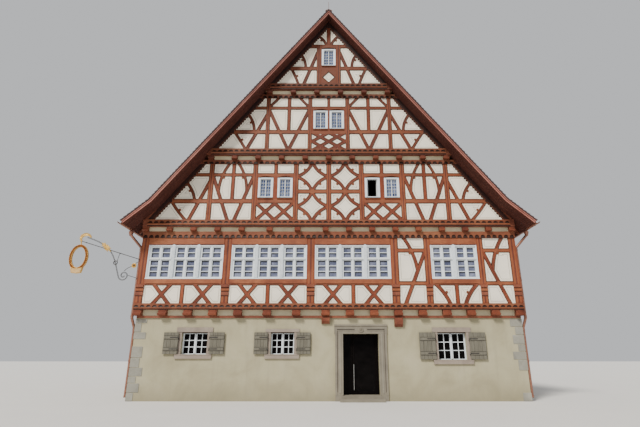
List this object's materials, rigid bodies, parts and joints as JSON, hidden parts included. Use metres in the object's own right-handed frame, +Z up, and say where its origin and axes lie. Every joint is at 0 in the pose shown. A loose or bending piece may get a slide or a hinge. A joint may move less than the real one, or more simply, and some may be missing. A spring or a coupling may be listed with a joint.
{
  "type": "half timbered house",
  "caption": "Gabled half timbered house: stone ground floor, one timber storey and three jettied attics under a steep tiled roof.",
  "frame": {"origin": "on the ground, in the middle of the stone walls' plan", "axes": "+X to the right along the front, +Y to the back, +Z up; the front faces -Y"},
  "size_m": [17.7796, 19.2, 16.4622],
  "materials": {
    "floor_stone": "stone paving",
    "stucco": "lime render, matt",
    "dressed_stone": "sandstone, matt",
    "dark_metal": "dark paint, satin",
    "glass": "clear",
    "steel": "brushed",
    "window_white": "white paint, satin",
    "wrought_iron": "black paint",
    "timber": "oxblood paint, matt",
    "plaster": "limewashed plaster, matt",
    "floor_boards": "bare boards",
    "inner_wall": "lime plaster, matt",
    "roof_tiles": "clay tiles",
    "verge_paint": "red paint, weathered",
    "gutter_metal": "dark metal",
    "shutter_wood": "grey weathered boards",
    "gilded_iron": "gilding, worn"
  },
  "bodies": {
    "house": {"ground_floor": "floor_stone", "front_wall_left": "stucco", "front_wall_right": "stucco", "front_wall_over_door": "stucco", "side_stone_walls": "stucco", "back_stone_wall": "stucco", "door_jambs": "dressed_stone", "door_lintel": "dressed_stone", "door_steps": "dressed_stone", "door_frame": "dark_metal", "side_light": "glass", "window_stonework": "dressed_stone", "stone_floor_windows": "window_white", "shutter_pintles": "wrought_iron", "corbels": "timber", "wall_plates": "timber", "floor_beams": "timber", "beam_infill": "plaster", "timber_floors": "floor_boards", "upper_gable_walls": "inner_wall", "upper_side_walls": "inner_wall", "attic_walls": "inner_wall", "upper_timbers": "timber", "upper_side_timbers": "timber", "attic_timbers": "timber", "upper_panels": "plaster", "attic_panels": "plaster", "upper_windows": "window_white", "attic_windows": "window_white", "window_glass": "glass", "roof_left": "roof_tiles", "roof_right": "roof_tiles", "ridge_cap": "roof_tiles", "verge_boards": "verge_paint", "gutters": "gutter_metal", "downpipes": "gutter_metal", "sign_bracket": "wrought_iron"},
    "shutter_a_left": {"shutter_a_left": "shutter_wood"},
    "shutter_a_right": {"shutter_a_right": "shutter_wood"},
    "shutter_b_left": {"shutter_b_left": "shutter_wood"},
    "shutter_b_right": {"shutter_b_right": "shutter_wood"},
    "shutter_c_left": {"shutter_c_left": "shutter_wood"},
    "shutter_c_right": {"shutter_c_right": "shutter_wood"},
    "door_leaf": {"door_leaf": "dark_metal", "door_glass": "glass", "door_handle": "steel"},
    "sign_wreath": {"sign_wreath": "gilded_iron"}
  },
  "joints": [
    {"name": "door_hinge", "type": "hinge", "parent": "house", "child": "door_leaf", "pos_m": [1.777, -8.094, 0.5], "axis": [0, 0, -1], "range_deg": [0, 90]},
    {"name": "shutter_a_left_hinge", "type": "hinge", "parent": "house", "child": "shutter_a_left", "pos_m": [-5.455, -8.56, 1.9], "axis": [0, 0, 1], "range_deg": [0, 180]},
    {"name": "shutter_a_right_hinge", "type": "hinge", "parent": "house", "child": "shutter_a_right", "pos_m": [-4.345, -8.56, 1.9], "axis": [0, 0, -1], "range_deg": [0, 180]},
    {"name": "shutter_b_left_hinge", "type": "hinge", "parent": "house", "child": "shutter_b_left", "pos_m": [-2.205, -8.56, 1.9], "axis": [0, 0, 1], "range_deg": [0, 180]},
    {"name": "shutter_b_right_hinge", "type": "hinge", "parent": "house", "child": "shutter_b_right", "pos_m": [-1.175, -8.56, 1.9], "axis": [0, 0, -1], "range_deg": [0, 180]},
    {"name": "shutter_c_left_hinge", "type": "hinge", "parent": "house", "child": "shutter_c_left", "pos_m": [3.895, -8.56, 1.9], "axis": [0, 0, 1], "range_deg": [0, 180]},
    {"name": "shutter_c_right_hinge", "type": "hinge", "parent": "house", "child": "shutter_c_right", "pos_m": [5.105, -8.56, 1.9], "axis": [0, 0, -1], "range_deg": [0, 180]},
    {"name": "wreath_swing", "type": "hinge", "parent": "house", "child": "sign_wreath", "pos_m": [-9.585, -8.65, 5.73], "axis": [1, 0, 0], "range_deg": [-20, 20]}
  ]
}
